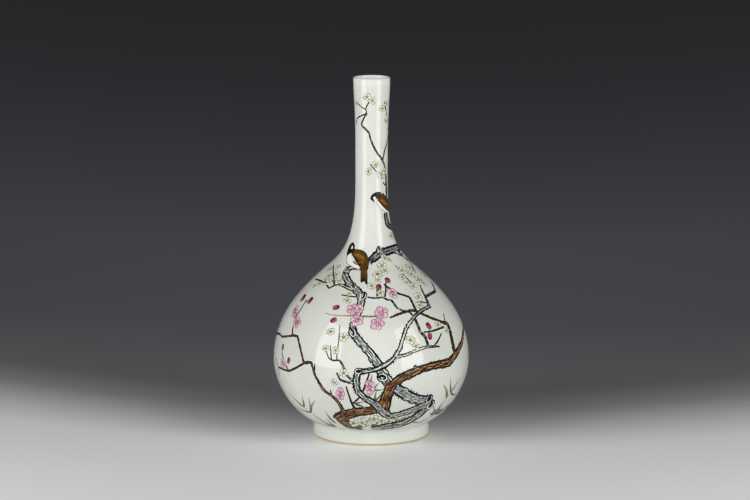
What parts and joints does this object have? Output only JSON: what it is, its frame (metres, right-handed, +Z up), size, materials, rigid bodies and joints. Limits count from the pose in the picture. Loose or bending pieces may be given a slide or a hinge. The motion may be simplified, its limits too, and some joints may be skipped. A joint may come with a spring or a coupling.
{
  "type": "long-necked bottle vase",
  "caption": "Porcelain bottle vase with a round low belly, long slender neck, rounded lip and short foot ring, painted with enamel blossom branches.",
  "frame": {"origin": "on the ground under the middle of the foot", "axes": "+Z up along the axis of the vase, the painted front towards -Y"},
  "size_m": [0.196, 0.196, 0.36],
  "materials": {
    "porcelain": "clear glaze over white porcelain",
    "foot": "clear glaze, bare where it rests",
    "slip": "fired slip",
    "biscuit": "bare fired porcelain",
    "enamel_black": "raised overglaze enamel, outlines and hollows",
    "enamel_grey": "raised overglaze enamel, grey bark",
    "enamel_white": "opaque raised overglaze enamel, petals and lights",
    "enamel_brown": "raised overglaze enamel, brown bark and plumage",
    "enamel_rose": "raised overglaze enamel, pink petals",
    "enamel_ruby": "raised overglaze enamel, buds",
    "enamel_green": "raised overglaze enamel, bamboo",
    "enamel_yellow_green": "raised overglaze enamel, blossom lines and stamens"
  },
  "bodies": {
    "root": {"foot_ring": "foot", "foot_lute": "slip", "lower_body": "porcelain", "belly_lute": "slip", "upper_body": "porcelain", "neck_lute": "slip", "neck": "porcelain"}
  },
  "joints": []
}
